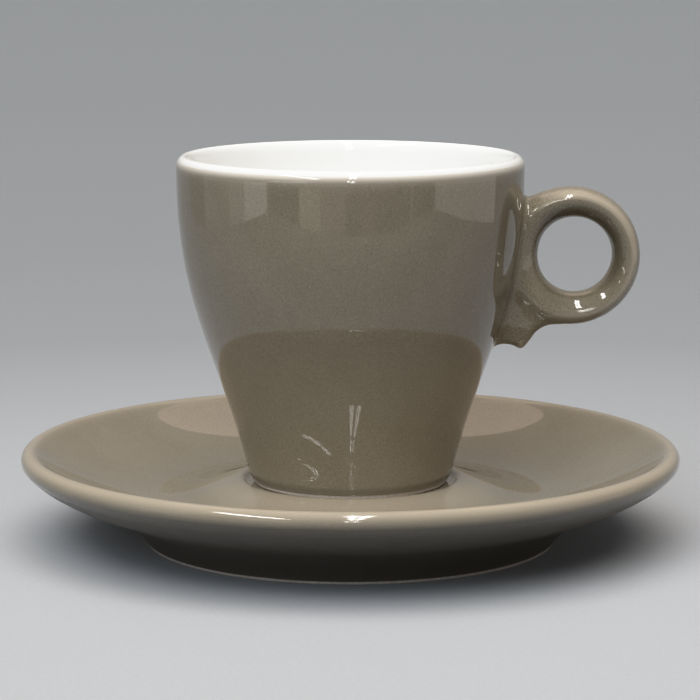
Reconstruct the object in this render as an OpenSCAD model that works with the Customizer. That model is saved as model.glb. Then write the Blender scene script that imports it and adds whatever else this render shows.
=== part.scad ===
// Cup with a ring handle, standing in the well of its saucer.
// Glazed stoneware: a clay body under a thin coat of glaze.
// The origin is the middle of the saucer's standing edge, +Z is up
// and the handle points along +X.

/* [Saucer] */
// Outside diameter of the saucer
saucer_d = 150; // [140:1:165]
// Height of the saucer from the table to the top of its lip
saucer_h = 21.8; // [19.5:0.1:25]
// Thickness of the rounded lip
saucer_lip = 4.4; // [3.8:0.1:5]
// Thickness of the saucer at the bottom of its slope
saucer_t = 3.8; // [3.4:0.1:4.4]
// Diameter of the foot ring where it stands on the table
saucer_foot_d = 92; // [86:0.2:98]
// Depth of the hollow just inside the foot ring
saucer_foot_h = 6.6; // [5.8:0.1:7.2]
// Width of the standing edge of the foot ring
saucer_foot_w = 3.2; // [2.4:0.1:4.4]

/* [Well] */
// Gap between the cup's foot and the side of the well
well_gap = 0.9; // [0.5:0.1:1.6]
// Height of the raised ring round the well above the well's floor
well_ring = 1; // [0.6:0.1:1.6]
// Height of the well's floor above the lowest part of the slope
well_rise = 3; // [2.4:0.1:3.6]

/* [Cup] */
// Outside diameter of the cup at its lip
cup_d = 78.6; // [74:0.2:84]
// Height of the cup from its foot to its lip
cup_h = 74.7; // [70:0.1:80]
// Diameter of the cup's foot
cup_foot_d = 44.1; // [42:0.1:47]
// Lean of the wall just above the foot, outward for each unit of height
cup_lean = 0.25; // [0.18:0.01:0.3]
// Thickness of the wall below the lip
cup_wall = 3; // [2.6:0.1:3.6]
// Thickness of the cup's floor
cup_floor = 5.5; // [4.5:0.1:7]
// Depth of the hollow under the cup
cup_hollow = 2; // [1:0.1:2.6]

/* [Handle] */
// Diameter of the finger hole
handle_hole = 17; // [15.5:0.1:18]
// Thickness of the ring on the side away from the cup
handle_t = 6.4; // [5.6:0.1:7.2]
// Depth of the ring from front to back
handle_w = 10; // [8:0.1:11]
// Thickness between the finger hole and the wall
handle_web = 4.3; // [3.6:0.1:5.4]
// Height of the hole's centre above the cup's foot
handle_z = 52.2; // [49:0.1:54]
// Drop of the spur below the ring
handle_spur = 5.4; // [4.6:0.1:6.2]

/* [Glaze] */
// Thickness of the glaze
glaze_t = 0.35; // [0.25:0.05:0.45]
// Depth of the white band on the outside of the lip
lip_band = 1.2; // [0.8:0.1:1.6]
// Height of the bare edge on the cup's foot
cup_bare = 1.1; // [0.8:0.1:1.5]
// Height of the bare edge on the saucer's foot
saucer_bare = 0.8; // [0.6:0.1:1.2]

/* [Hidden] */
$fn = 144;
gap = 0.02;
taupe = [0.50, 0.47, 0.41];
white = [0.95, 0.94, 0.92];
clay = [0.78, 0.72, 0.68];

// ---- curves, as lists of [radius, height] ----
function bez(a, b, c, d, t) = pow(1 - t, 3) * a + 3 * pow(1 - t, 2) * t * b + 3 * (1 - t) * t * t * c + t * t * t * d;
// points along a curve, without its first point
function curve(a, b, c, d, n) = [for (i = [1 : n]) bez(a, b, c, d, i / n)];
function arc(c, r, from, to, n) = [for (i = [0 : n]) let (w = from + (to - from) * i / n) c + r * [cos(w), sin(w)]];
function turn(v) = [-v[1], v[0]];
function unit(v) = v / norm(v);
// the same curve moved sideways by d to the left of its direction
function beside(p, d) = let (n = len(p)) [for (i = [0 : n - 1])
    p[i] + d * turn(unit(p[min(i + 1, n - 1)] - p[max(i - 1, 0)]))];
function backwards(p) = [for (i = [len(p) - 1 : -1 : 0]) p[i]];
function tail(p, n = 1) = [for (i = [n : len(p) - 1]) p[i]];

// ---- saucer ----
lip_r = saucer_lip / 2;
lip_c = [saucer_d / 2 - lip_r, saucer_h - lip_r];
valley = [saucer_foot_d / 2 - 2.5, saucer_foot_h + saucer_t];
well_z = valley[1] + well_rise;
well_r = cup_foot_d / 2 + well_gap;
crest = [well_r + 2.4, well_z + well_ring];
in_a = 127;
out_a = -47;
in_p = lip_c + lip_r * [cos(in_a), sin(in_a)];
in_d = [-sin(in_a), cos(in_a)];
out_p = lip_c + lip_r * [cos(out_a), sin(out_a)];
out_d = [sin(out_a), -cos(out_a)];
foot_r = saucer_foot_d / 2 + glaze_t;
heel = [foot_r + 12.5, valley[1] - 0.8];
heel_d = [cos(18), sin(18)];
sole = [foot_r + 0.45, saucer_bare];
shin = sole + [1.15, 1.5];

// glazed face, from the middle of the well over the lip to the foot
saucer_face = concat(
    [[0, well_z], [well_r * 0.5, well_z], [well_r, well_z]],
    curve([well_r, well_z], [well_r + 1.3, well_z], [crest[0] - 1.3, crest[1]], crest, 8),
    curve(crest, crest + [(valley[0] - crest[0]) * 0.16, 0], valley - [(valley[0] - crest[0]) * 0.46, 0], valley, 16),
    curve(valley, valley + [(in_p[0] - valley[0]) * 0.29, 0], in_p + in_d * 8.8, in_p, 20),
    tail(arc(lip_c, lip_r, in_a, out_a, 22)),
    curve(out_p, out_p + out_d * 0.5, heel + heel_d * (out_p[0] - heel[0]) * 0.81, heel, 20),
    curve(heel, heel - heel_d * 5, shin + (shin - sole) * 2.2, shin, 14),
    curve(shin, shin + (sole - shin) * 0.3, shin + (sole - shin) * 0.7, sole, 3));
saucer_clay = beside(saucer_face, -glaze_t - gap);
under_z = saucer_foot_h;
foot_in = saucer_foot_d / 2 - saucer_foot_w;
// the hollow rises under the well, so that the floor stays even in thickness
dome_z = well_z - saucer_t - 0.6;

module saucer_body() {
    color(clay) rotate_extrude() polygon(concat(saucer_clay,
        [[foot_r + 0.05, 0.6], [foot_r + 0.12, 0.3], [foot_r + 0.02, 0.08], [foot_r - 0.2, 0]],
        [[foot_in + 0.4, 0], [foot_in + 0.14, 0.08], [foot_in, 0.3]],
        curve([foot_in, 0.3], [foot_in - 1.2, under_z * 0.55], [foot_in - 2.2, under_z], [foot_in - 5, under_z], 10),
        curve([foot_in - 5, under_z], [foot_in - 9.5, under_z], [well_r + 4.5, dome_z], [well_r, dome_z], 12),
        [[0, dome_z]]));
}

module saucer_glaze() {
    color(taupe) rotate_extrude() polygon(concat(saucer_face, backwards(beside(saucer_face, -glaze_t))));
}

// ---- cup ----
cup_z = well_z + 0.05;
cup_r = cup_d / 2;
rim_z = cup_z + cup_h;
ankle = [cup_foot_d / 2 + 1.37, cup_z + 3.2];
brow = [cup_r, rim_z - 2.7];
wall_h = brow[1] - ankle[1];
rim_top = [cup_r - 1.75, rim_z];
toe = [cup_foot_d / 2 + glaze_t + 0.15, cup_z + cup_bare];
// outer face, from the top of the lip down to the glaze's lower edge
lip_out = concat([rim_top], curve(rim_top, rim_top + [1.05, 0], brow + [0, 1.35], brow, 12));
wall_out = curve(brow, brow - [0, wall_h * 0.462], ankle + [cup_lean, 1] * wall_h * 0.405, ankle, 34);
foot_out = curve(ankle, ankle - [cup_lean, 1] * 0.8, toe + [0.35, 0.6], toe, 6);
cup_face = concat(lip_out, wall_out, foot_out);
// inner face: the wall leaned in by its thickness, down to a rounded floor
wall_in = [for (i = [0 : 26]) let (k = len(lip_out) - 1 + i,
    d = turn(unit(cup_face[k + 1] - cup_face[k - 1])))
    cup_face[k] - d * (cup_wall + 1.3 * pow(i / 26, 2))];
floor_z = cup_z + cup_floor;
low = wall_in[26];
low_d = unit(wall_in[26] - wall_in[25]);
lip_in = [for (i = [0 : 7]) bez(rim_top, rim_top - [0.85, 0], wall_in[0] + [0, 1.3], wall_in[0], i / 8)];
cup_inside = concat(lip_in, wall_in,
    curve(low, low + low_d * (low[1] - floor_z) * 0.75, [low[0] * 0.78, floor_z], [low[0] * 0.42, floor_z], 14),
    [[0, floor_z]]);
// the white coat turns over the lip and ends a little way down the outside
band_n = len([for (p = cup_face) if (p[1] > rim_z - lip_band) p]);
function at_height(p, z, i = 0) = p[i + 1][1] <= z ? p[i] + (p[i + 1] - p[i]) * (z - p[i][1]) / (p[i + 1][1] - p[i][1]) : at_height(p, z, i + 1);
band_p = at_height(cup_face, rim_z - lip_band);
band_q = at_height(cup_face, rim_z - lip_band - gap);
white_face = concat(backwards(cup_inside), [for (i = [1 : band_n - 1]) cup_face[i]], [band_p]);
taupe_face = concat([band_q], [for (i = [band_n : len(cup_face) - 1]) if (norm(cup_face[i] - band_q) > 0.1) cup_face[i]]);
cup_skin = concat(backwards(cup_inside), tail(cup_face));
cup_clay = beside(cup_skin, -glaze_t - gap);
cup_foot_r = cup_foot_d / 2;

module clay_shape() {
    rotate_extrude() polygon(concat(cup_clay,
        [[cup_foot_r + 0.02, cup_z + 0.55], [cup_foot_r - 0.25, cup_z + 0.12], [cup_foot_r - 0.6, cup_z]],
        [[cup_foot_r - 3.2, cup_z], [cup_foot_r - 3.6, cup_z + 0.3]],
        curve([cup_foot_r - 3.6, cup_z + 0.3], [cup_foot_r - 3.9, cup_z + cup_hollow * 0.7], [cup_foot_r - 4.6, cup_z + cup_hollow], [cup_foot_r - 6.4, cup_z + cup_hollow], 6),
        [[0, cup_z + cup_hollow]]));
}

module cup_body() {
    color(clay) clay_shape();
}

module cup_inner_glaze() {
    color(white) rotate_extrude() polygon(concat(white_face, backwards(beside(white_face, -glaze_t))));
}

module cup_outer_glaze() {
    color(taupe) difference() {
        rotate_extrude() polygon(concat(taupe_face, backwards(beside(taupe_face, -glaze_t))));
        root(root_w + gap);
    }
}

// ---- handle ----
// radius of the cup's outer face at a height
face_table = [for (p = backwards(cup_face)) [p[1], p[0]]];
function wall_r(z) = lookup(z, face_table);
hole_r = handle_hole / 2;
hole_z = cup_z + handle_z;
hole_x = wall_r(hole_z) + handle_web + hole_r;
off = [-0.8, -0.25];
ring_r = hole_r + handle_t + 0.8;
ring_low = hole_z + off[1] - ring_r;
neck_z = hole_z + ring_r * 0.815;
// distance from the hole's centre to the outside of the ring
function ring_out(w) = let (u = [cos(w), sin(w)], e = off * u) e + sqrt(e * e - off * off + ring_r * ring_r);
// section of the ring at an angle, an oval that is fullest nearer its outside
function ring_section(w) = let (out = ring_out(w), full = hole_r + (out - hole_r) * 0.64)
    [for (k = [0 : 19]) let (c = cos(k * 18), r = full + (c < 0 ? full - hole_r : out - full) * c)
        [hole_x + r * cos(w), handle_w / 2 * sin(k * 18), hole_z + r * sin(w)]];
// level section of the web, from inside the wall out to x, spread near the wall
function web_section(z, x, w) = let (r = wall_r(z), reach = max(0.3, x - r), s = min(1, reach / 3.4),
    half = [[-2.6, w + 2.6 * s], [0.05, w + 2.6 * s], [0.5 * s, w + 1.5 * s], [1.3 * s, w + 0.6 * s], [3.2 * s, w], [reach - 0.25 * s, w * 0.97], [reach, w * 0.8]])
    concat([for (p = half) [r + p[0], -p[1], z]], [for (i = [6 : -1 : 0]) [r + half[i][0], half[i][1], z]]);
// skin over a row of sections with n points each; a closed row joins its last section to its first
module skin(rows, closed) {
    n = len(rows[0]);
    m = len(rows);
    polyhedron([for (row = rows) each row], concat(
        [for (i = [0 : closed ? m - 1 : m - 2], k = [0 : n - 1], h = [0, 1])
            let (a = i * n, b = (i + 1) % m * n, q = (k + 1) % n)
            h == 0 ? [a + k, b + k, b + q] : [a + k, b + q, a + q]],
        closed ? [] : [[for (k = [0 : n - 1]) k], [for (k = [n - 1 : -1 : 0]) (m - 1) * n + k]]));
}
// how far the web runs out and half its depth at each height, from the neck down to the spur
web = concat(
    [[neck_z + 2, wall_r(neck_z + 2) + 0.3, 1.9], [neck_z + 0.9, wall_r(neck_z + 0.9) + 0.7, 2.8], [neck_z + 0.2, wall_r(neck_z) + 1.5, 3.2], [neck_z - 0.4, hole_x - hole_r + 0.4, 3.4], [neck_z - 2, hole_x - hole_r + 1.8, 3.7], [hole_z + hole_r + 0.4, hole_x - hole_r + 1.3, 3.9]],
    [for (i = [5 : -1 : -5]) let (z = hole_z + hole_r * i / 6) [z, hole_x - sqrt(pow(hole_r + 1.3, 2) - pow(z - hole_z, 2)), 4]],
    [[hole_z - hole_r - 0.8, hole_x - 5, 4], [ring_low + 3, hole_x - 5, 3.9], [ring_low + 1, hole_x - 5.4, 3.6], [ring_low - 0.6, hole_x - 7, 3.3], [ring_low - 1.8, hole_x - 8.6, 3], [ring_low - 3.2, hole_x - 9.8, 2.7], [ring_low - 4.1, hole_x - 12.6, 2.4], [ring_low - 5, wall_r(ring_low - 5) + 1.4, 2.1], [ring_low - 6.3, wall_r(ring_low - 6.3) + 0.3, 1.6]]);
// the spur, from inside the web down to its tip
function spur_at(t) = bez([hole_x - 9.5, 0, ring_low + 1], [hole_x - 9.6, 0, ring_low - 1.5], [hole_x - 10.4, 0, ring_low - handle_spur * 0.55], [hole_x - 11.5, 0, ring_low - handle_spur + 0.9], t);
root_w = 2.2;
// plug that passes through the glaze to the clay
module root(w) {
    low_z = ring_low - 3;
    high_z = neck_z - 1.5;
    rotate([90, 0, 90]) translate([0, 0, 20]) linear_extrude(40) {
        translate([-w, low_z]) square([2 * w, high_z - low_z]);
        translate([0, low_z]) circle(w);
        translate([0, high_z]) circle(w);
    }
}
// everything within the cup's outer face, moved out by d
module cup_core(d) {
    rotate_extrude() polygon(concat([[0, cup_z - 1]], [[cup_foot_r - 4, cup_z - 1]], backwards(beside(cup_face, d)), [[0, rim_z + d]]));
}
module clay_core(d) {
    rotate_extrude() polygon(concat([[0, cup_z - 1]], [[cup_foot_r - 4, cup_z - 1]], backwards(beside(cup_face, d - glaze_t)), [[0, rim_z - 1]]));
}

module cup_handle() {
    color(taupe) {
        difference() {
            union() {
                skin([for (i = [0 : 47]) ring_section(i * 7.5)], true);
                skin([for (p = backwards(web)) web_section(p[0], p[1], p[2])], false);
                for (i = [0 : 8]) hull() for (t = [i / 9, (i + 1) / 9])
                    translate(spur_at(t)) sphere(2.3 - 1.4 * t, $fn = 20);
            }
            cup_core(0.06, $fn = 96);
        }
        intersection() {
            difference() {
                root(root_w, $fn = 24);
                clay_core(0.06, $fn = 96);
            }
            cup_core(0.8, $fn = 96);
        }
    }
}

saucer_body();
saucer_glaze();
cup_body();
cup_handle();
cup_outer_glaze();
cup_inner_glaze();
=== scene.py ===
import math
import bpy
import bmesh
import numpy as np
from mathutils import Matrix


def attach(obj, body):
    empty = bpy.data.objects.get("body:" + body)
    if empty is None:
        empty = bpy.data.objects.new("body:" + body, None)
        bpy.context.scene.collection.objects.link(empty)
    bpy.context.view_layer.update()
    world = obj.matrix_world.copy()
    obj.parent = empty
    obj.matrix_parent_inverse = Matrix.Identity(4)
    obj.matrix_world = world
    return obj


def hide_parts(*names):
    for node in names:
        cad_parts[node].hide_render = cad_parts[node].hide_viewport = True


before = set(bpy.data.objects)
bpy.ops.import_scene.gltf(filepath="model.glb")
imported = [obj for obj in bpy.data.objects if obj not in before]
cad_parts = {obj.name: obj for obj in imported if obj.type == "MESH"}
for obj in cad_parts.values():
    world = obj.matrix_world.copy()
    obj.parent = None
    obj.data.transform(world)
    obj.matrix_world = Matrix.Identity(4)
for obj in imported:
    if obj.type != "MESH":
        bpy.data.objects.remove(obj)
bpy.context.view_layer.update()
scene = bpy.context.scene
MM = 0.001

# ---------------------------------------------------------------- profiles, in mm, as [radius, height]


def bez(a, b, c, d, n):
    """n points along a cubic curve, without its first point."""
    a, b, c, d = (np.asarray(v, float) for v in (a, b, c, d))
    t = (np.arange(1, n + 1) / n)[:, None]
    return (1 - t) ** 3 * a + 3 * (1 - t) ** 2 * t * b + 3 * (1 - t) * t * t * c + t ** 3 * d


def rows(*parts):
    return np.vstack([np.atleast_2d(np.asarray(p, float)) for p in parts])


def line(a, b, n):
    a, b = np.asarray(a, float), np.asarray(b, float)
    t = (np.arange(1, n + 1) / n)[:, None]
    return a + (b - a) * t


def beside(p, d):
    """The same curve moved sideways by d to the left of its direction."""
    t = np.gradient(p, axis=0)
    t /= np.linalg.norm(t, axis=1)[:, None]
    return p + d * np.stack([-t[:, 1], t[:, 0]], 1)


def bend_of(p):
    """How sharply a profile bends at each point, 1/mm, positive where it turns right."""
    t = np.gradient(p, axis=0)
    s = np.linalg.norm(t, axis=1)
    w = np.unwrap(np.arctan2(t[:, 1], t[:, 0]))
    k = -np.gradient(w) / np.maximum(s, 1e-6)
    pad = np.pad(k, 3, mode="edge")
    return sum(pad[i:i + len(k)] for i in range(7)) / 7


def step(x, a, b):
    t = np.clip((np.asarray(x, float) - a) / (b - a), 0, 1)
    return t * t * (3 - 2 * t)


# saucer
lip_r = 2.2
lip_c = np.array([72.79, 19.6])
valley = np.array([43.5, 10.4])
well_z = 13.4
well_r = 22.95
crest = np.array([25.35, 14.4])
in_a, out_a = math.radians(127), math.radians(-47)
in_p = lip_c + lip_r * np.array([math.cos(in_a), math.sin(in_a)])
in_d = np.array([-math.sin(in_a), math.cos(in_a)])
out_p = lip_c + lip_r * np.array([math.cos(out_a), math.sin(out_a)])
out_d = np.array([math.sin(out_a), -math.cos(out_a)])
foot_r = 46.35
heel = np.array([foot_r + 12.5, 9.6])
heel_d = np.array([math.cos(math.radians(18)), math.sin(math.radians(18))])
shin = np.array([foot_r + 1.6, 2.3])
sole = np.array([foot_r + 0.45, 0.8])
ang = np.linspace(in_a, out_a, 41)[1:]
saucer_face = rows(
    [0, well_z],
    line([0, well_z], [well_r - 1.0, well_z], 24),
    line([well_r - 1.0, well_z], [well_r, well_z], 3),
    bez([well_r, well_z], [well_r + 1.3, well_z], crest - [1.3, 0], crest, 18),
    bez(crest, crest + [(valley[0] - crest[0]) * 0.16, 0], valley - [(valley[0] - crest[0]) * 0.46, 0], valley, 48),
    bez(valley, valley + [(in_p[0] - valley[0]) * 0.29, 0], in_p + in_d * 8.8, in_p, 60),
    lip_c + lip_r * np.stack([np.cos(ang), np.sin(ang)], 1),
    bez(out_p, out_p + out_d * 0.5, heel + heel_d * 12.5, heel, 48),
    bez(heel, heel - heel_d * 5, shin + (shin - sole) * 2.2, shin, 30),
    line(shin, sole, 6),
)

# cup
cup_z = 13.45
rim_z = 88.15
ankle = np.array([23.42, cup_z + 3.2])
brow = np.array([39.3, rim_z - 2.7])
wall_h = brow[1] - ankle[1]
lean = np.array([0.25, 1.0])
rim_top = np.array([37.55, rim_z])
toe = np.array([22.55, cup_z + 1.1])
lip_out = rows(rim_top, bez(rim_top, rim_top + [1.05, 0], brow + [0, 1.35], brow, 28))
wall_out = bez(brow, brow - [0, wall_h * 0.462], ankle + lean * wall_h * 0.405, ankle, 130)
foot_out = bez(ankle, ankle - lean * 0.8, toe + [0.35, 0.6], toe, 12)
cup_face = rows(lip_out, wall_out, foot_out)
k0 = len(lip_out) - 1
n_in = 100
wall_t = np.gradient(cup_face, axis=0)
wall_t /= np.linalg.norm(wall_t, axis=1)[:, None]
wall_n = np.stack([-wall_t[:, 1], wall_t[:, 0]], 1)
wall_in = np.array([cup_face[k0 + i] - wall_n[k0 + i] * (3 + 1.3 * (i / (n_in - 1)) ** 2) for i in range(n_in)])
floor_z = cup_z + 5.5
low = wall_in[-1]
low_d = (wall_in[-1] - wall_in[-2]) / np.linalg.norm(wall_in[-1] - wall_in[-2])
lip_in = rows(rim_top, bez(rim_top, rim_top - [0.85, 0], wall_in[0] + [0, 1.3], wall_in[0], 20)[:-1])
cup_inside = rows(
    lip_in, wall_in,
    bez(low, low + low_d * (low[1] - floor_z) * 0.75, [low[0] * 0.78, floor_z], [low[0] * 0.42, floor_z], 40),
    line([low[0] * 0.42, floor_z], [0, floor_z], 8),
)
band_z = rim_z - 1.2


def cut_at(p, z):
    """The part of a falling profile above z and the part below it, both with the point at z."""
    i = int(np.argmax(p[:, 1] < z))
    f = (z - p[i - 1, 1]) / (p[i, 1] - p[i - 1, 1])
    q = p[i - 1] + (p[i] - p[i - 1]) * f
    return rows(p[:i], q), rows(q, p[i:])


white_out, _ = cut_at(cup_face, band_z)
_, taupe_face = cut_at(cup_face, band_z - 0.02)
white_face = rows(cup_inside[::-1], white_out[1:])

# ---------------------------------------------------------------- meshes


def thin_of(face, low_k=0.16, high_k=0.5):
    return step(bend_of(face), low_k, high_k)


def make(name, verts, faces, values, mats, face_mat=None, sharp=38, normals=None):
    me = bpy.data.meshes.new(name)
    me.from_pydata((np.asarray(verts) * MM).tolist(), [], faces)
    me.update()
    me.polygons.foreach_set("use_smooth", np.ones(len(me.polygons), bool))
    for m in mats:
        me.materials.append(m)
    if face_mat is not None:
        me.polygons.foreach_set("material_index", np.asarray(face_mat, np.int32))
    for key, value in zip(("thin", "fade", "grain", "painted_shade", "dull"), values):
        at = me.attributes.new(key, "FLOAT", "POINT")
        at.data.foreach_set("value", np.asarray(np.broadcast_to(value, len(verts)), np.float32))
    if normals is not None:
        me.normals_split_custom_set_from_vertices([tuple(v) for v in normals])
    elif sharp:
        me.set_sharp_from_angle(angle=math.radians(sharp))
    ob = bpy.data.objects.new(name, me)
    scene.collection.objects.link(ob)
    return ob


def revolve(name, prof, seg, thin, mats, pick=None, fade=None, grain=0.0, dull=None, painted_shade=None):
    """A closed solid turned about Z from a closed profile, which starts and may end on the axis."""
    prof = np.asarray(prof, float)
    thin = np.asarray(thin, float)
    fade = np.zeros(len(prof)) if fade is None else np.asarray(fade, float)
    dull = np.zeros(len(prof)) if dull is None else np.asarray(dull, float)
    painted_shade = np.zeros(len(prof)) if painted_shade is None else np.asarray(painted_shade, float)
    w = 2 * np.pi * np.arange(seg) / seg
    cs = np.stack([np.cos(w), np.sin(w)], 1)
    verts, tv, fv, dv, pv, first = [], [], [], [], [], []
    for (r, z), t, f, d, e in zip(prof, thin, fade, dull, painted_shade):
        first.append(len(verts))
        if r < 1e-6:
            verts.append((0.0, 0.0, z))
            tv.append(t)
            fv.append(f)
            dv.append(d)
            pv.append(e)
        else:
            verts.extend((r * c, r * s, z) for c, s in cs)
            tv.extend([t] * seg)
            fv.extend([f] * seg)
            dv.extend([d] * seg)
            pv.extend([e] * seg)
    faces, fm = [], []
    n = len(prof)
    for i in range(n):
        j = (i + 1) % n
        on_i, on_j = prof[i, 0] < 1e-6, prof[j, 0] < 1e-6
        if on_i and on_j:
            continue
        m = pick(prof[i], prof[j]) if pick else 0
        a, b = first[i], first[j]
        for k in range(seg):
            q = (k + 1) % seg
            if on_i:
                faces.append((a, b + k, b + q))
            elif on_j:
                faces.append((a + k, b, a + q))
            else:
                faces.append((a + k, b + k, b + q, a + q))
            fm.append(m)
    ob = make(name, verts, faces, (tv, fv, grain, pv, dv), mats, fm)
    bm = bmesh.new()
    bm.from_mesh(ob.data)
    bmesh.ops.recalc_face_normals(bm, faces=bm.faces)
    bm.to_mesh(ob.data)
    bm.free()
    ob.data.set_sharp_from_angle(angle=math.radians(38))
    return ob


def bead(p, q, n=6):
    """Half round from p to q, bulging ahead of the curve that ends at p."""
    p, q = np.asarray(p, float), np.asarray(q, float)
    c, v = (p + q) / 2, (p - q) / 2
    w = np.linspace(0, math.pi, n + 2)[1:-1]
    out = np.array([-v[1], v[0]])
    return c + np.cos(w)[:, None] * v - np.sin(w)[:, None] * out


def thinned(p, n):
    """Every nth point, with both ends kept."""
    keep = sorted(set(range(0, len(p), n)) | {len(p) - 1})
    return p[keep]


# ---------------------------------------------------------------- materials


def nodes_of(name):
    m = bpy.data.materials.new(name)
    m.use_nodes = True
    nt = m.node_tree
    nt.nodes.clear()
    out = nt.nodes.new("ShaderNodeOutputMaterial")
    return m, nt, out


def add(nt, kind, **values):
    n = nt.nodes.new(kind)
    for k, v in values.items():
        setattr(n, k, v)
    return n


def noise(nt, coord, scale, detail=2.0, rough=0.5, distortion=0.0):
    n = add(nt, "ShaderNodeTexNoise")
    n.inputs["Scale"].default_value = scale
    n.inputs["Detail"].default_value = detail
    n.inputs["Roughness"].default_value = rough
    n.inputs["Distortion"].default_value = distortion
    nt.links.new(coord, n.inputs["Vector"])
    return n.outputs["Fac"]


def ramp(nt, fac, stops):
    n = add(nt, "ShaderNodeValToRGB")
    e = n.color_ramp.elements
    while len(e) < len(stops):
        e.new(0.5)
    for i, (p, c) in enumerate(stops):
        e[i].position = p
        e[i].color = (*c, 1) if isinstance(c, tuple) else (c, c, c, 1)
    nt.links.new(fac, n.inputs["Fac"])
    return n.outputs["Color"]


def mix(nt, a, b, fac, kind="MIX"):
    n = add(nt, "ShaderNodeMix", data_type="RGBA", blend_type=kind)
    for s, v in ((n.inputs[0], fac), (n.inputs[6], a), (n.inputs[7], b)):
        if isinstance(v, (int, float)):
            s.default_value = v
        elif isinstance(v, tuple):
            s.default_value = (*v, 1)
        else:
            nt.links.new(v, s)
    return n.outputs[2]


def math_node(nt, op, a, b=0.0, clamp=False):
    n = add(nt, "ShaderNodeMath", operation=op, use_clamp=clamp)
    for s, v in zip(n.inputs, (a, b)):
        if isinstance(v, (int, float)):
            s.default_value = v
        else:
            nt.links.new(v, s)
    return n.outputs[0]


def bump(nt, height, distance, strength=1.0, under=None):
    n = add(nt, "ShaderNodeBump")
    n.inputs["Distance"].default_value = distance
    n.inputs["Strength"].default_value = strength
    nt.links.new(height, n.inputs["Height"])
    if under is not None:
        nt.links.new(under, n.inputs["Normal"])
    return n.outputs["Normal"]


def taupe_glaze():
    m, nt, out = nodes_of("taupe_glaze")
    p = add(nt, "ShaderNodeBsdfPrincipled")
    co = add(nt, "ShaderNodeTexCoord").outputs["Object"]
    thin = add(nt, "ShaderNodeAttribute", attribute_name="thin").outputs["Fac"]
    cloud = noise(nt, co, 55, 3, 0.55)
    base = ramp(nt, cloud, [(0.3, (0.200, 0.167, 0.118)), (0.7, (0.224, 0.188, 0.134))])
    # pooled and drained glaze: slow streaks a few millimetres wide
    pool = noise(nt, co, 240, 2, 0.5)
    base = mix(nt, base, (0.244, 0.207, 0.150), math_node(nt, "MULTIPLY", ramp(nt, pool, [(0.48, 0.0), (0.75, 1.0)]), 0.25))
    # fine speckle, pale and dark
    fine = noise(nt, co, 2600, 2, 0.6)
    grain = add(nt, "ShaderNodeAttribute", attribute_name="grain").outputs["Fac"]
    much = math_node(nt, "ADD", math_node(nt, "MULTIPLY", grain, 0.5), 0.34)
    base = mix(nt, base, (0.31, 0.265, 0.198), math_node(nt, "MULTIPLY", ramp(nt, fine, [(0.56, 0.0), (0.68, 1.0)]), much))
    base = mix(nt, base, (0.128, 0.104, 0.07), math_node(nt, "MULTIPLY", ramp(nt, fine, [(0.33, 1.0), (0.45, 0.0)]), much))
    # the glaze runs thin over edges and shows the paler body; the same paler colour also paints light: a highlight band
    # along the handle ring's crest and a lighter band round the cup's waist
    base = mix(nt, base, (0.42, 0.355, 0.271), math_node(nt, "MULTIPLY", thin, 0.8, True))
    # painted shade: darker on the ring's slope towards the hole, along its lowest side and under the saucer's lip
    painted_shade = add(nt, "ShaderNodeAttribute", attribute_name="painted_shade").outputs["Fac"]
    base = mix(nt, base, (0.062, 0.049, 0.030), painted_shade)
    # and blends into the white below the lip
    fade = add(nt, "ShaderNodeAttribute", attribute_name="fade").outputs["Fac"]
    base = mix(nt, base, (0.76, 0.69, 0.61), fade)
    nt.links.new(base, p.inputs["Base Color"])
    rough = math_node(nt, "ADD", math_node(nt, "MULTIPLY", noise(nt, co, 700, 2), 0.03), 0.012)
    # duller under the saucer and a little on its lip and on the handle
    dull = add(nt, "ShaderNodeAttribute", attribute_name="dull").outputs["Fac"]
    rough = math_node(nt, "ADD", rough, math_node(nt, "MULTIPLY", dull, 0.34))
    nt.links.new(rough, p.inputs["Roughness"])
    wave = bump(nt, noise(nt, co, 260, 1, 0.4), 0.000008, 0.35)
    peel = bump(nt, noise(nt, co, 1700, 1, 0.5), 0.000001, 0.35, wave)
    nt.links.new(peel, p.inputs["Normal"])
    p.inputs["IOR"].default_value = 1.56
    nt.links.new(p.outputs[0], out.inputs[0])
    return m


def white_glaze():
    m, nt, out = nodes_of("white_glaze")
    p = add(nt, "ShaderNodeBsdfPrincipled")
    co = add(nt, "ShaderNodeTexCoord").outputs["Object"]
    cloud = noise(nt, co, 70, 3, 0.55)
    base = ramp(nt, cloud, [(0.3, (0.905, 0.895, 0.872)), (0.7, (0.93, 0.92, 0.90))])
    fine = noise(nt, co, 2200, 2, 0.6)
    base = mix(nt, base, (0.85, 0.83, 0.79), math_node(nt, "MULTIPLY", ramp(nt, fine, [(0.27, 1.0), (0.4, 0.0)]), 0.25))
    fade = add(nt, "ShaderNodeAttribute", attribute_name="fade").outputs["Fac"]
    base = mix(nt, base, (0.80, 0.735, 0.65), fade)
    nt.links.new(base, p.inputs["Base Color"])
    rough = math_node(nt, "ADD", math_node(nt, "MULTIPLY", noise(nt, co, 700, 2), 0.03), 0.02)
    nt.links.new(rough, p.inputs["Roughness"])
    wave = bump(nt, noise(nt, co, 240, 1, 0.4), 0.000008, 0.35)
    nt.links.new(wave, p.inputs["Normal"])
    p.inputs["IOR"].default_value = 1.56
    nt.links.new(p.outputs[0], out.inputs[0])
    return m


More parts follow.
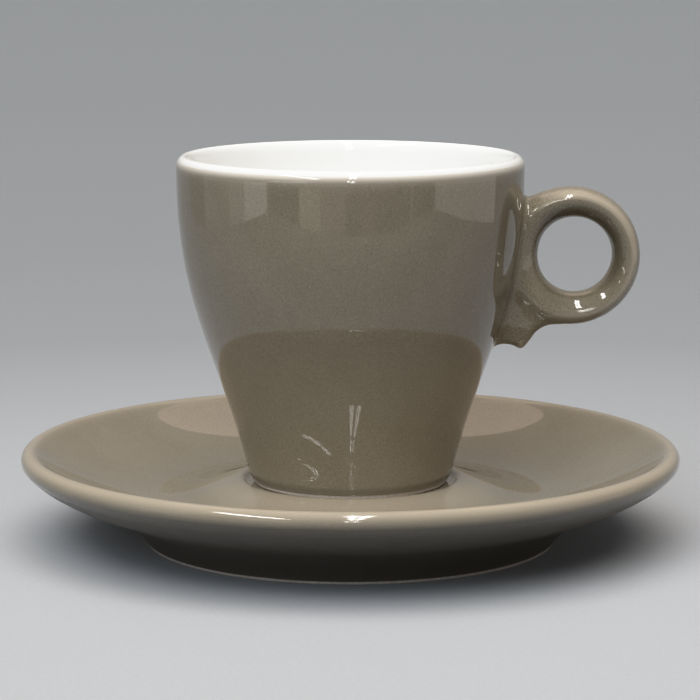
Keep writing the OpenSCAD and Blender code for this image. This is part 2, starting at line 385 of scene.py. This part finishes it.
def bare_clay():
    m, nt, out = nodes_of("bare_clay")
    p = add(nt, "ShaderNodeBsdfPrincipled")
    co = add(nt, "ShaderNodeTexCoord").outputs["Object"]
    grain = noise(nt, co, 1500, 4, 0.65)
    base = ramp(nt, grain, [(0.3, (0.58, 0.485, 0.425)), (0.55, (0.71, 0.615, 0.55)), (0.75, (0.78, 0.695, 0.63))])
    stain = noise(nt, co, 140, 2, 0.5)
    base = mix(nt, base, (0.52, 0.42, 0.355), math_node(nt, "MULTIPLY", ramp(nt, stain, [(0.5, 0.0), (0.8, 1.0)]), 0.35))
    nt.links.new(base, p.inputs["Base Color"])
    rough = math_node(nt, "ADD", math_node(nt, "MULTIPLY", grain, 0.2), 0.65)
    nt.links.new(rough, p.inputs["Roughness"])
    nt.links.new(bump(nt, grain, 0.00004, 0.5), p.inputs["Normal"])
    nt.links.new(p.outputs[0], out.inputs[0])
    return m


TAUPE, WHITE, CLAY = taupe_glaze(), white_glaze(), bare_clay()

# ---------------------------------------------------------------- saucer and cup

GLAZE = 0.35
SEG = 256

# the glaze on the saucer, a coat with a rounded lower edge
back = thinned(beside(saucer_face, -GLAZE)[::-1], 4)
lip_v = saucer_face - lip_c
lip_w = np.degrees(np.arctan2(lip_v[:, 1], lip_v[:, 0]))
lip_w = np.where(lip_w < -100, lip_w + 360, lip_w)
t_face = 0.84 * np.exp(-((lip_w - 66) / np.where(lip_w < 66, 74, 62)) ** 2) * np.exp(-np.maximum(np.linalg.norm(lip_v, axis=1) - lip_r, 0) / 0.8)
t_face = np.maximum(t_face, 0.5 * step(saucer_face[:, 0], well_r + 0.6, crest[0]) * step(saucer_face[:, 0], valley[0] - 6, crest[0] + 3))
t_face[saucer_face[:, 1] < 9.9] = 0
end_t = np.linalg.norm(saucer_face - saucer_face[-1], axis=1)
t_face = np.maximum(t_face, 0.8 * np.exp(-end_t / 0.6))
edge = bead(saucer_face[-1], back[0])
# the glaze is duller from below the lip to the foot, and a little on the lip
along = np.r_[0, np.cumsum(np.linalg.norm(np.diff(saucer_face, axis=0), axis=1))]
turn_at = along[np.argmin(np.linalg.norm(saucer_face - out_p, axis=1))]
d_face = step(along, turn_at - 2.5, turn_at + 4.0)
d_face = np.maximum(d_face, 0.17 * np.exp(-((lip_w - 60) / 50) ** 2) * (along > turn_at - 12))
# painted shade under the saucer's lip, running down towards the foot
under_lip_shade = 0.55 * step(along, turn_at, turn_at + 5.0)
saucer_coat = revolve(
    "saucer_glaze_coat", rows(saucer_face, edge, back[:-1], [0, back[-1][1]]), SEG,
    np.r_[t_face, np.full(len(edge), 0.8), np.zeros(len(back))], [TAUPE],
    dull=np.r_[d_face, np.ones(len(edge)), np.zeros(len(back))], painted_shade=np.r_[under_lip_shade, np.zeros(len(edge) + len(back))])

# the clay of the saucer, bare only on its standing edge; the hollow inside the ring is glazed too
clay_s = thinned(beside(saucer_face, -GLAZE - 0.02), 3)
foot_in = 42.8
under_z = 6.6
dome_z = 9.0
ring_in = rows(
    bez([foot_in, 0.3], [foot_in - 1.2, under_z * 0.55], [foot_in - 2.2, under_z], [foot_in - 5, under_z], 30),
    bez([foot_in - 5, under_z], [foot_in - 9.5, under_z], [well_r + 4.5, dome_z], [well_r, dome_z], 24))
foot_s = rows([foot_r + 0.05, 0.6], [foot_r + 0.1, 0.45], [foot_r + 0.12, 0.3], [foot_r + 0.09, 0.17], [foot_r + 0.02, 0.08], [foot_r - 0.08, 0.02], [foot_r - 0.2, 0],
              line([foot_r - 0.2, 0], [foot_in + 0.4, 0], 6), [foot_in + 0.26, 0.02], [foot_in + 0.14, 0.08], [foot_in + 0.04, 0.17], [foot_in, 0.3])
prof_s = rows(clay_s, foot_s, ring_in, line(ring_in[-1], [0, dome_z], 12))
saucer_clay = revolve(
    "saucer_clay_body", prof_s, SEG, np.zeros(len(prof_s)), [CLAY, TAUPE],
    lambda a, b: 1 if max(a[0], b[0]) < foot_in and min(a[1], b[1]) > 0.75 and max(a[1], b[1]) < 9.4 else 0)

# the taupe coat outside the cup
back = thinned(beside(taupe_face, -GLAZE)[::-1], 4)
t_face = thin_of(taupe_face) * 0.6
top_d = np.linalg.norm(taupe_face - taupe_face[0], axis=1)
end_t = np.linalg.norm(taupe_face - taupe_face[-1], axis=1)
t_face = np.maximum(t_face, np.maximum(1.0 * np.exp(-top_d / 0.9), 0.7 * np.exp(-end_t / 0.5)))
# painted light: a little paler round the waist, just below the line where the floor's reflection ends
t_face = np.maximum(t_face, 0.11 * np.exp(-((taupe_face[:, 1] - 40) / 9) ** 2))
f_face = 0.95 * np.exp(-(top_d / 0.75) ** 1.3)
edge = bead(taupe_face[-1], back[0])
cup_coat = revolve(
    "cup_outer_glaze_coat", rows(taupe_face, edge, back), SEG,
    np.r_[t_face, np.full(len(edge), 0.7), np.zeros(len(back))], [TAUPE],
    fade=np.r_[f_face, np.zeros(len(edge) + len(back))], grain=0.25)

# the white coat inside the cup and over its lip
back = thinned(beside(white_face, -GLAZE)[::-1], 4)
white_coat = revolve(
    "cup_inner_glaze_coat", rows(white_face, back[:-1], [0, back[-1][1]]), SEG,
    np.zeros(len(white_face) + len(back)), [WHITE],
    fade=np.r_[0.75 * np.exp(-(np.linalg.norm(white_face - white_face[-1], axis=1) / 0.4) ** 1.5), np.zeros(len(back))])

# the clay of the cup, bare on its foot; the hollow under it is glazed
cup_skin = rows(cup_inside[::-1], cup_face[1:])
clay_c = thinned(beside(cup_skin, -GLAZE - 0.02), 3)
fr = 22.05
hollow = bez([fr - 3.6, cup_z + 0.3], [fr - 3.9, cup_z + 1.4], [fr - 4.6, cup_z + 2], [fr - 6.4, cup_z + 2], 14)
foot_c = rows([fr + 0.02, cup_z + 0.55], [fr - 0.06, cup_z + 0.3], [fr - 0.25, cup_z + 0.12], [fr - 0.42, cup_z + 0.03], [fr - 0.6, cup_z],
              line([fr - 0.6, cup_z], [fr - 3.2, cup_z], 5), [fr - 3.4, cup_z + 0.08], [fr - 3.6, cup_z + 0.3])
prof_c = rows(clay_c, foot_c, hollow, line(hollow[-1], [0, cup_z + 2], 8))
prof_c[0, 0] = 0
cup_clay = revolve(
    "cup_clay_body", prof_c, SEG, np.zeros(len(prof_c)), [CLAY, WHITE],
    lambda a, b: 1 if max(a[0], b[0]) < fr - 3.5 and cup_z + 0.6 < min(a[1], b[1]) and max(a[1], b[1]) < cup_z + 2.3 else 0)

# ---------------------------------------------------------------- handle, as one smooth surface

WZ = cup_face[::-1, 1]
WR = cup_face[::-1, 0]
HX, HZ, HR = 50.665, 65.65, 8.5
OFF = np.array([-0.8, -0.25])
RR = 15.7
HW = 10.0
POW = 2.0
FULL = 0.64


def d_wall(x, y, z):
    r = np.interp(z, WZ, WR)
    s = (np.interp(z + 0.4, WZ, WR) - np.interp(z - 0.4, WZ, WR)) / 0.8
    return (np.hypot(x, y) - r) / np.sqrt(1 + s * s)


def ring_around(x, z):
    """Distance from the hole's middle, where the ring is fullest, and how far it runs on that side."""
    dx, dz = x - HX, z - HZ
    rho = np.maximum(np.hypot(dx, dz), 1e-6)
    e = (OFF[0] * dx + OFF[1] * dz) / rho
    out = e + np.sqrt(e * e - OFF @ OFF + RR * RR)
    mid = HR + (out - HR) * FULL
    return rho, mid, np.where(rho < mid, mid - HR, out - mid)


def d_ring(x, y, z):
    rho, mid, half = ring_around(x, z)
    u, v = np.abs(rho - mid) / half, np.abs(y) / (HW / 2)
    s = np.maximum((u ** POW + v ** POW) ** (1 / POW), 1e-3)
    gu = (u / s) ** (POW - 1) / half
    gv = (v / s) ** (POW - 1) / (HW / 2)
    return (s - 1) / np.maximum(np.hypot(gu, gv), 0.12)


def smooth_path(pts, n=6):
    """Points along a smooth open curve through pts."""
    p = np.asarray(pts, float)
    q = np.vstack([2 * p[0] - p[1], p, 2 * p[-1] - p[-2]])
    out = []
    for i in range(1, len(q) - 2):
        for t in np.arange(n) / n:
            a, b, c, d = q[i - 1], q[i], q[i + 1], q[i + 2]
            out.append(0.5 * (2 * b + (c - a) * t + (2 * a - 5 * b + 4 * c - d) * t * t + (3 * b - a - 3 * c + d) * t ** 3))
    out.append(p[-1])
    return np.array(out)


web_line = rows(
    smooth_path([[29.5, 45.0], [32.5, 45.0], [35.0, 45.15], [36.9, 44.85], [38.2, 44.2], [39.1, 44.2], [39.9, 44.95], [41.0, 46.4], [42.4, 48.2], [44.5, 49.6], [47.0, 50.6]]),
    smooth_path([[47.5, 52.5], [45.5, 54.6], [43.4, 57.4], [42.0, 60.8], [41.4, 64.5], [41.6, 68.5], [42.6, 72.3], [44.5, 75.6]]),
    smooth_path([[45.2, 78.2], [43.8, 78.75], [42.2, 78.45], [40.4, 78.3], [37.0, 78.3]]),
    [[33.0, 78.0]], [[29.0, 62.0]],
)


def d_web(x, y, z):
    a = web_line
    b = np.roll(a, -1, 0)
    best = np.full(x.shape, 1e9)
    inside = np.zeros(x.shape, bool)
    for (ax, az), (bx, bz) in zip(a, b):
        ex, ez = bx - ax, bz - az
        t = np.clip(((x - ax) * ex + (z - az) * ez) / max(ex * ex + ez * ez, 1e-12), 0, 1)
        best = np.minimum(best, (x - ax - t * ex) ** 2 + (z - az - t * ez) ** 2)
        if abs(ez) > 1e-12:
            hit = ((az > z) != (bz > z)) & (x < ex * (z - az) / ez + ax)
            inside ^= hit
    d2 = np.sqrt(best) * np.where(inside, -1, 1)
    w = np.interp(z, [44, 46, 49, 53, 60, 72, 76, 79], [1.7, 2.4, 3.2, 3.7, 3.9, 3.8, 3.5, 3.1])
    r = np.minimum(w * 0.85, np.interp(z, [44, 48, 54, 76, 79], [1.4, 2.2, 2.8, 2.6, 2.0]))
    p, q = d2 + r, np.abs(y) - w + r
    return np.hypot(np.maximum(p, 0), np.maximum(q, 0)) + np.minimum(np.maximum(p, q), 0) - r


def smin(a, b, k):
    h = np.maximum(k - np.abs(a - b), 0) / k
    return np.minimum(a, b) - h * h * h * k / 6


def d_handle(x, y, z):
    h = smin(d_ring(x, y, z), d_web(x, y, z), 3.2)
    k = np.interp(z, [43, 46, 50, 56, 64, 72, 77, 80], [2.4, 3.2, 4.6, 5.2, 4.6, 3.8, 2.9, 2.3])
    return smin(h, d_wall(x, y, z), k)


def surface_net(f, lo, hi, pitch):
    """Quads on f = 0, one point in each cell that it passes."""
    ax = [np.arange(a, b + pitch, pitch) for a, b in zip(lo, hi)]
    X, Y, Z = np.meshgrid(*ax, indexing="ij")
    v = f(X, Y, Z)
    nx, ny, nz = (s - 1 for s in v.shape)
    total = np.zeros((nx, ny, nz, 3))
    count = np.zeros((nx, ny, nz))
    corner = [(i, j, k) for i in (0, 1) for j in (0, 1) for k in (0, 1)]

    def at(c):
        i, j, k = c
        return v[i:i + nx, j:j + ny, k:k + nz]

    for c in corner:
        for axis in range(3):
            if c[axis]:
                continue
            d = list(c)
            d[axis] = 1
            a, b = at(c), at(d)
            hit = (a < 0) != (b < 0)
            t = np.where(hit, a / np.where(hit, a - b, 1), 0)
            for m in range(3):
                total[..., m] += np.where(hit, c[m] + (t if m == axis else 0), 0)
            count += hit
    used = count > 0
    index = np.full(used.shape, -1)
    index[used] = np.arange(used.sum())
    where = np.argwhere(used)
    pts = (where + total[used] / count[used][:, None]) * pitch + np.array([a[0] for a in ax])
    quads = []
    for axis in range(3):
        o1, o2 = [(1, 2), (2, 0), (0, 1)][axis]
        s0 = [slice(1, n) for n in v.shape]
        s0[axis] = slice(0, v.shape[axis] - 1)
        s1 = list(s0)
        s1[axis] = slice(1, v.shape[axis])
        for s in (s0, s1):
            for o in (o1, o2):
                s[o] = slice(1, v.shape[o] - 1)
        a, b = v[tuple(s0)], v[tuple(s1)]
        hit = np.argwhere((a < 0) != (b < 0))
        if not len(hit):
            continue
        flip = (a < 0)[tuple(hit.T)]
        cell = hit.copy()
        for o in (o1, o2):
            cell[:, o] += 1
        e1, e2 = np.zeros(3, int), np.zeros(3, int)
        e1[o1], e2[o2] = 1, 1
        q = np.stack([index[tuple((cell - d).T)] for d in (e1 + e2, e2, 0 * e1, e1)], 1)
        q[~flip] = q[~flip][:, ::-1]
        quads.append(q)
    return pts, np.vstack(quads)


def slope(f, p, h=0.02):
    g = []
    for m in range(3):
        e = np.zeros(3)
        e[m] = h
        a, b = p + e, p - e
        g.append((f(a[:, 0], a[:, 1], a[:, 2]) - f(b[:, 0], b[:, 1], b[:, 2])) / (2 * h))
    return np.stack(g, 1)


pts, quads = surface_net(d_handle, (29, -16.1, 38), (67, 16.1, 85), 0.36)
for _ in range(4):
    g = slope(d_handle, pts)
    val = d_handle(pts[:, 0], pts[:, 1], pts[:, 2])
    pts = pts - np.clip(val / np.maximum((g * g).sum(1), 0.2), -0.2, 0.2)[:, None] * g
raised = d_wall(pts[:, 0], pts[:, 1], pts[:, 2])
keep = (raised[quads] > 0.004).any(1) & (pts[quads][:, :, 0] > 0).all(1)
# only the piece joined to the ring
quads = quads[keep]
label = np.arange(len(pts))
while True:
    low_l = label[quads].min(1)
    new = label.copy()
    for c in range(4):
        np.minimum.at(new, quads[:, c], low_l)
    if (new == label).all():
        break
    label = new
seed = label[quads[np.argmax(pts[quads][:, 0, 0])][0]]
quads = quads[label[quads[:, 0]] == seed]
used = np.unique(quads)
remap = np.full(len(pts), -1)
remap[used] = np.arange(len(used))
pts, quads = pts[used], remap[quads]
grad = slope(d_handle, pts)
grad /= np.linalg.norm(grad, axis=1)[:, None]
# how sharply the surface bends, for the thin glaze on edges
h = 0.5
lap = -6 * d_handle(pts[:, 0], pts[:, 1], pts[:, 2])
for m in range(3):
    for s in (h, -h):
        e = np.zeros(3)
        e[m] = s
        a = pts + e
        lap += d_handle(a[:, 0], a[:, 1], a[:, 2])
lap /= h * h
handle_thin = step(lap, 0.32, 0.85) * step(d_wall(pts[:, 0], pts[:, 1], pts[:, 2]), 0.2, 1.5)
# painted highlight, partly real thin glaze: a paler band along the fullest line of the ring; 0 is at the hole, 180 at
# the outside
rho, mid, half = ring_around(pts[:, 0], pts[:, 2])
around = np.degrees(np.arctan2(np.abs(pts[:, 1]) / (HW / 2), (mid - rho) / half))
on_ring = step(pts[:, 0], 43.5, 49)
handle_thin = np.maximum(handle_thin, 0.95 * np.exp(-((around - 114) / 24) ** 2) * on_ring)
low_side = step(-(pts[:, 2] - HZ) / rho, 0.35, 0.95)
# painted shade on the ring's slope towards the hole, a little less on its lower side
handle_painted_shade = 0.74 * np.exp(-((around - 44) / 34) ** 2) * step(pts[:, 0], 40.5, 46) * (1 - 0.35 * low_side)
# painted shade also along the lowest side of the ring, where the paler crest colour is held back too
handle_thin *= 1 - 0.35 * low_side * on_ring
handle_painted_shade = np.maximum(handle_painted_shade, 0.6 * np.exp(-((around - 172) / 42) ** 2) * low_side * on_ring)

# close it inside the wall
edges = np.sort(np.vstack([quads[:, [0, 1]], quads[:, [1, 2]], quads[:, [2, 3]], quads[:, [3, 0]]]), 1)
uniq, cnt = np.unique(edges, axis=0, return_counts=True)
rim_edges = uniq[cnt == 1]
nxt = {}
directed = np.vstack([quads[:, [0, 1]], quads[:, [1, 2]], quads[:, [2, 3]], quads[:, [3, 0]]])
rim_set = {tuple(e) for e in rim_edges}
rim_dir = [tuple(e) for e in directed if tuple(sorted(e)) in rim_set]
ring_ids = sorted({a for a, b in rim_dir})
inner_of = {}
all_pts = [tuple(p) for p in pts]
all_nrm = [tuple(v) for v in grad]
for i in ring_ids:
    inner_of[i] = len(all_pts)
    all_pts.append(tuple(pts[i] - grad[i] * 0.6))
    all_nrm.append(tuple(grad[i]))
mid = pts[ring_ids].mean(0)
mid_i = len(all_pts)
all_pts.append((mid[0] - 0.9, mid[1], mid[2]))
all_nrm.append((-1.0, 0.0, 0.0))
faces = [tuple(int(v) for v in q) for q in quads]
for a, b in rim_dir:
    faces.append((b, a, inner_of[a], inner_of[b]))
    faces.append((inner_of[b], inner_of[a], mid_i))
thin_all = np.r_[handle_thin, np.zeros(len(all_pts) - len(pts))]
painted_shade_all = np.r_[handle_painted_shade, np.zeros(len(all_pts) - len(pts))]
handle = make("cup_ring_handle", all_pts, faces, (thin_all, 0.0, 1.0, painted_shade_all, 0.12), [TAUPE], normals=all_nrm)

# ---------------------------------------------------------------- what each piece is

for piece, node, body, slot in (
    (saucer_coat, "saucer_glaze", "saucer", "taupe_glaze"),
    (saucer_clay, "saucer_body", "saucer", "bare_clay"),
    (cup_coat, "cup_outer_glaze", "cup", "taupe_glaze"),
    (white_coat, "cup_inner_glaze", "cup", "white_glaze"),
    (cup_clay, "cup_body", "cup", "bare_clay"),
    (handle, "cup_handle", "cup", "taupe_glaze"),
):
    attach(piece, body)
    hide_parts(node)

# ---------------------------------------------------------------- floor and light


def stage_mesh(name, verts, faces, mat):
    me = bpy.data.meshes.new(name)
    me.from_pydata(verts, [], faces)
    me.materials.append(mat)
    ob = bpy.data.objects.new(name, me)
    scene.collection.objects.link(ob)
    return ob


def floor_material(name, dim=False):
    m, nt, out = nodes_of(name)
    p = add(nt, "ShaderNodeBsdfPrincipled")
    co = add(nt, "ShaderNodeTexCoord").outputs["Object"]
    far = add(nt, "ShaderNodeVectorMath", operation="DISTANCE")
    far.inputs[1].default_value = (0.0, -0.12, 0.0)
    nt.links.new(co, far.inputs[0])
    # painted pool of light: the floor is palest around the cup and darker further out, standing in for the light's
    # fall-off
    base = ramp(nt, math_node(nt, "MULTIPLY", far.outputs["Value"], 0.5), [
        (0.02, (0.425, 0.433, 0.458)), (0.05, (0.415, 0.423, 0.447)), (0.097, (0.375, 0.383, 0.404)),
        (0.21, (0.246, 0.256, 0.271)), (0.33, (0.223, 0.233, 0.246)), (0.75, (0.212, 0.222, 0.236))])
    weave = noise(nt, co, 900, 2, 0.6)
    base = mix(nt, base, (0.225, 0.23, 0.236), math_node(nt, "MULTIPLY", ramp(nt, weave, [(0.35, 1.0), (0.6, 0.0)]), 0.08))
    if dim:
        # reflections see it fall off in front
        where = add(nt, "ShaderNodeSeparateXYZ")
        nt.links.new(co, where.inputs[0])
        fall = ramp(nt, math_node(nt, "ADD", where.outputs["Y"], 0.5), [(0.38, 0.7), (0.4, 1.0)])
        base = mix(nt, base, fall, 1.0, "MULTIPLY")
    nt.links.new(base, p.inputs["Base Color"])
    p.inputs["Roughness"].default_value = 0.85
    nt.links.new(bump(nt, weave, 0.0002, 0.35), p.inputs["Normal"])
    nt.links.new(p.outputs[0], out.inputs[0])
    return m


def disc(radius, z):
    return [(radius * math.cos(2 * math.pi * i / 96), radius * math.sin(2 * math.pi * i / 96), z) for i in range(96)], [tuple(range(96))]


# the floor as it is seen, as it is reflected, and a darker one that sets how much light it throws back up
floor = stage_mesh("floor", *disc(7.0, 0.0), floor_material("floor_cloth"))
floor.visible_diffuse = False
floor.visible_glossy = False
mirrored = stage_mesh("floor_mirrored", *disc(7.0, 0.00005), floor_material("floor_mirrored", True))
mirrored.visible_camera = False
mirrored.visible_diffuse = False
mirrored.visible_shadow = False
mirrored.visible_transmission = False
m, nt, out = nodes_of("floor_bounce")
p = add(nt, "ShaderNodeBsdfPrincipled")
p.inputs["Base Color"].default_value = (0.15, 0.151, 0.155, 1)
p.inputs["Roughness"].default_value = 1.0
nt.links.new(p.outputs[0], out.inputs[0])
bounce = stage_mesh("floor_bounce", *disc(7.0, -0.0002), m)
bounce.visible_camera = False
bounce.visible_glossy = False
bounce.visible_shadow = False
bounce.visible_transmission = False


def glow(name, color, strength):
    m, nt, out = nodes_of(name)
    e = add(nt, "ShaderNodeEmission")
    e.inputs["Color"].default_value = (*color, 1)
    e.inputs["Strength"].default_value = strength
    nt.links.new(e.outputs[0], out.inputs[0])
    return m


def only_reflected(ob):
    ob.visible_camera = False
    ob.visible_diffuse = False
    ob.visible_shadow = False
    ob.visible_transmission = False
    return ob


def card(name, corners, color, strength):
    """A panel that only shows in reflections."""
    return only_reflected(stage_mesh(name, corners, [tuple(range(len(corners)))], glow(name, color, strength)))


# the room as reflections see it: dim walls, a paler ceiling
m, nt, out = nodes_of("room_shell")
where = add(nt, "ShaderNodeTexCoord").outputs["Object"]
high = add(nt, "ShaderNodeSeparateXYZ")
nt.links.new(where, high.inputs[0])
walls = ramp(nt, math_node(nt, "DIVIDE", high.outputs["Z"], 9.0), [(0.0, (0.34, 0.335, 0.33)), (0.25, (0.36, 0.345, 0.325)), (0.7, (0.50, 0.47, 0.43)), (1.0, (0.78, 0.75, 0.70))])
front = ramp(nt, math_node(nt, "ADD", math_node(nt, "DIVIDE", high.outputs["Y"], 18.0), 0.5), [(0.1, 0.62), (0.6, 1.0)])
tone = mix(nt, walls, front, 1.0, "MULTIPLY")
e = add(nt, "ShaderNodeEmission")
nt.links.new(tone, e.inputs["Color"])
nt.links.new(e.outputs[0], out.inputs[0])
ring_n, rise_n, big = 48, 12, 9.0
shell = [(big * math.cos(math.pi / 2 * j / rise_n) * math.cos(2 * math.pi * i / ring_n), big * math.cos(math.pi / 2 * j / rise_n) * math.sin(2 * math.pi * i / ring_n), big * math.sin(math.pi / 2 * j / rise_n) - 0.01) for j in range(rise_n) for i in range(ring_n)] + [(0, 0, big)]
shell_f = [(j * ring_n + i, j * ring_n + (i + 1) % ring_n, (j + 1) * ring_n + (i + 1) % ring_n, (j + 1) * ring_n + i) for j in range(rise_n - 1) for i in range(ring_n)]
shell_f += [((rise_n - 1) * ring_n + i, (rise_n - 1) * ring_n + (i + 1) % ring_n, rise_n * ring_n) for i in range(ring_n)]
only_reflected(stage_mesh("room_shell", shell, shell_f, m))
# rounded panel behind and above
outline = [(0.0, 1.42), (0.36, 1.42), (0.45, 1.405), (0.54, 1.365), (0.63, 1.28), (0.69, 1.17), (0.715, 1.05), (0.712, 0.93), (0.69, 0.77), (0.62, 0.63), (0.51, 0.57), (0.3, 0.55)]
outline = outline + [(-x, y) for x, y in outline[::-1] if x > 0]
card("back_panel", [(x, y, 1.6) for x, y in outline], (1.0, 0.80, 0.70), 1.5)
# rows of twin tubes along Y
for row, xs, spans, power in (
    ("mid", (0.015, 0.11), ((-0.37, -1.32), (-1.52, -2.59)), 46),
    ("left", (-1.10, -1.20), ((-0.72, -1.72), (-1.84, -2.84)), 75),
    ("far", (-3.9, -4.02), ((-5.5, -6.5), (-6.7, -7.7)), 40),
):
    for k, x in enumerate(xs):
        for n, (y0, y1) in enumerate(spans):
            card(f"tube_{row}_{k}_{n}", [(x - 0.027, y0, 1.6), (x + 0.027, y0, 1.6), (x + 0.027, y1, 1.6), (x - 0.027, y1, 1.6)], (1.0, 0.97, 0.93), power)
# a bright gap and a low strip far in front
card("front_gap", [(-0.02, -4.0, 0.27), (0.24, -4.0, 0.27), (0.24, -4.0, 1.2), (-0.02, -4.0, 1.2)], (1.0, 0.98, 0.94), 5.0)
for k, x in enumerate((-0.09, 0.12)):
    card(f"front_twin_{k}", [(x - 0.05, -3.99, 0.62), (x + 0.05, -3.99, 0.62), (x + 0.05, -3.99, 1.35), (x - 0.05, -3.99, 1.35)], (1.0, 0.97, 0.93), 16)
card("front_low", [(-3.94, -3.08, 0.30), (-2.35, -4.41, 0.30), (-2.35, -4.41, 0.37), (-3.94, -3.08, 0.37)], (1.0, 0.98, 0.94), 14.0)
card("left_far", [(-3.80, -2.30, 1.6), (-4.10, -2.30, 1.6), (-4.10, -2.62, 1.6), (-3.80, -2.62, 1.6)], (1.0, 0.98, 0.94), 26.0)
# low panels at the sides and a dark one in front, all standing on the floor
for n, (y0, y1, power) in enumerate(((-0.272, -0.135, 1.5), (-0.135, -0.05, 0.85), (-0.05, 0.114, 0.55), (0.114, 0.264, 0.3))):
    card(f"left_panel_{n}", [(-0.37, y1, 0), (-0.37, y0, 0), (-0.37, y0, 0.06), (-0.37, y1, 0.06)], (1.0, 0.92, 0.88), power)
card("right_panel", [(0.40, -0.283, 0), (0.40, 0.111, 0), (0.40, 0.111, 0.07), (0.40, -0.283, 0.07)], (1.0, 0.93, 0.90), 1.0)
card("front_dark", [(-0.37, -0.30, 0), (0.40, -0.30, 0), (0.40, -0.30, 0.05), (-0.37, -0.30, 0.05)], (0.3, 0.55, 1.0), 0.12)
for n, (x0, x1, color, power) in enumerate((
    (-0.184, -0.097, (1.0, 0.98, 0.82), 0.9),
    (-0.096, -0.0155, (1.0, 0.96, 0.93), 0.4),
    (0.0375, 0.083, (1.0, 0.95, 0.9), 0.25),
    (0.232, 0.238, (1.0, 0.95, 0.9), 0.9),
)):
    card(f"front_strip_{n}", [(x0, -0.299, 0), (x1, -0.299, 0), (x1, -0.299, 0.05), (x0, -0.299, 0.05)], color, power)

# soft light: a wide one from overhead and the left, a weaker and cooler one from the front
for name, angle, energy, color, turn in (
    ("top_light", 72, 3.6, (1.0, 0.957, 0.898), (20, -3)),
    ("front_light", 34, 1.03, (0.82, 1.0, 1.14), (47, -28)),
):
    light = bpy.data.lights.new(name, "SUN")
    light.angle = math.radians(angle)
    light.energy = energy
    light.color = color
    lamp = bpy.data.objects.new(name, light)
    lamp.location = (0.0, -0.3, 1.5)
    lamp.rotation_euler = (math.radians(turn[0]), math.radians(turn[1]), 0)
    lamp.visible_camera = False
    lamp.visible_glossy = False
    scene.collection.objects.link(lamp)

world = bpy.data.worlds.new("room")
scene.world = world
world.use_nodes = True
wn = world.node_tree
wn.nodes.clear()
wo = wn.nodes.new("ShaderNodeOutputWorld")
wb = wn.nodes.new("ShaderNodeBackground")
gen = wn.nodes.new("ShaderNodeTexCoord")
sep = wn.nodes.new("ShaderNodeSeparateXYZ")
wn.links.new(gen.outputs["Generated"], sep.inputs[0])
sky = ramp(wn, sep.outputs["Z"], [(0.0, (0.266, 0.266, 0.264)), (0.1, (0.22, 0.219, 0.216)), (0.4, (0.15, 0.152, 0.155)), (1.0, (0.2, 0.2, 0.195))])
wn.links.new(sky, wb.inputs["Color"])
wb.inputs["Strength"].default_value = 1.0
wn.links.new(wb.outputs[0], wo.inputs[0])

scene.view_settings.view_transform = "Standard"
# a soft shoulder, so that white glaze keeps its shape
scene.view_settings.use_curve_mapping = True
tone_curve = scene.view_settings.curve_mapping
tone_curve.white_level = (1.4, 1.4, 1.4)
all_c = tone_curve.curves[3]
all_c.points[0].location = (0.0, 0.0)
all_c.points[1].location = (1.0, 0.985)
for px, py in ((0.25, 0.35), (0.43, 0.602), (0.607, 0.83), (0.786, 0.945)):
    all_c.points.new(px, py)
tone_curve.update()

# ---------------------------------------------------------------- camera

cam = bpy.data.cameras.new("camera")
cam.sensor_width = 36
cam.lens = 153.67
cam_ob = bpy.data.objects.new("camera", cam)
cam_ob.location = (-0.00009, -0.67157, 0.15114)
cam_ob.rotation_euler = (math.radians(80.9056), 0, 0)
scene.collection.objects.link(cam_ob)
scene.camera = cam_ob
